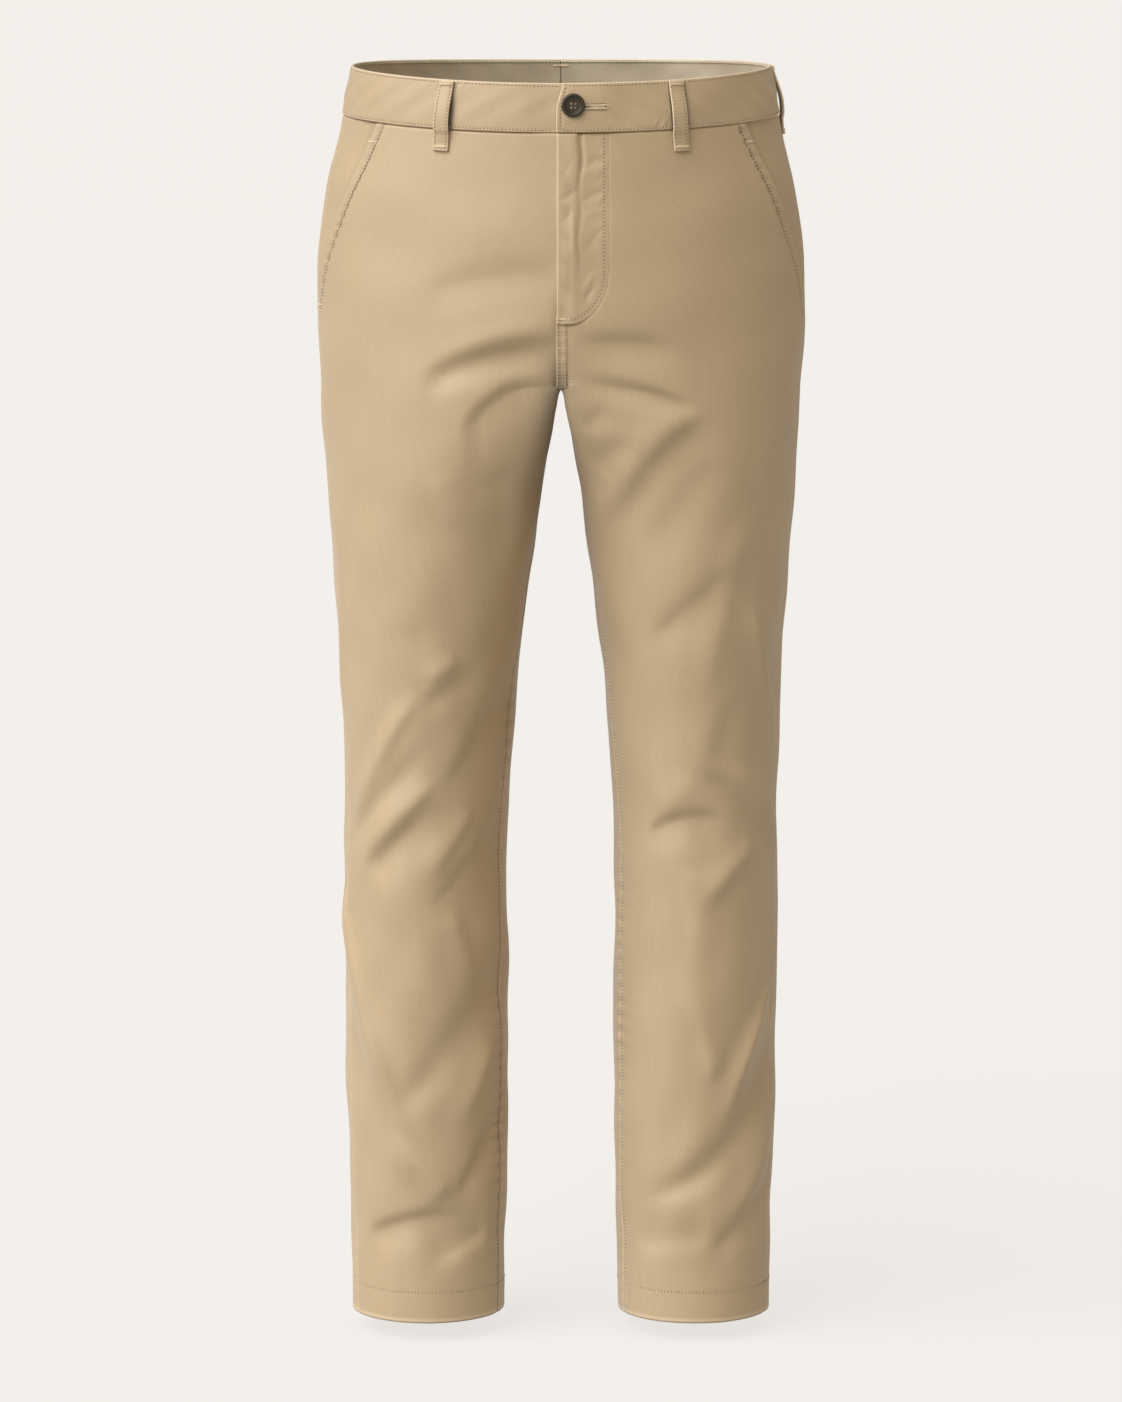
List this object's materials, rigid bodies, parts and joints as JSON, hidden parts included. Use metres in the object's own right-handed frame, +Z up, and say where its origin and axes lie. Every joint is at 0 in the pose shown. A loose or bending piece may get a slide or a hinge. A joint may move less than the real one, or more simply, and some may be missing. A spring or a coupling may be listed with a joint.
{
  "type": "chino trousers",
  "caption": "Straight-leg chino trousers in plain cotton twill, filled out as when worn, with slanted pockets, belt loops and a buttoned waistband.",
  "frame": {"origin": "middle of the waist opening, half way up the waistband at its sides, where the wearer's waist holds the garment", "axes": "+Z up, from hems to waistband; the front faces -Y; the wearer's left side lies at +X"},
  "size_m": [0.38, 0.2556, 0.9916],
  "materials": {
    "twill": "plain cotton twill in khaki",
    "button": "dark horn-like resin, satin"
  },
  "bodies": {
    "root": {"front_left": "twill", "front_right": "twill", "back_left": "twill", "back_right": "twill", "pocket_facing_left": "twill", "pocket_facing_right": "twill", "fly": "twill", "waistband_left": "twill", "waistband_right": "twill", "belt_loop_front_left": "twill", "belt_loop_front_right": "twill", "belt_loop_side_left": "twill", "belt_loop_side_right": "twill", "belt_loop_back": "twill", "waist_button": "button"}
  },
  "joints": []
}
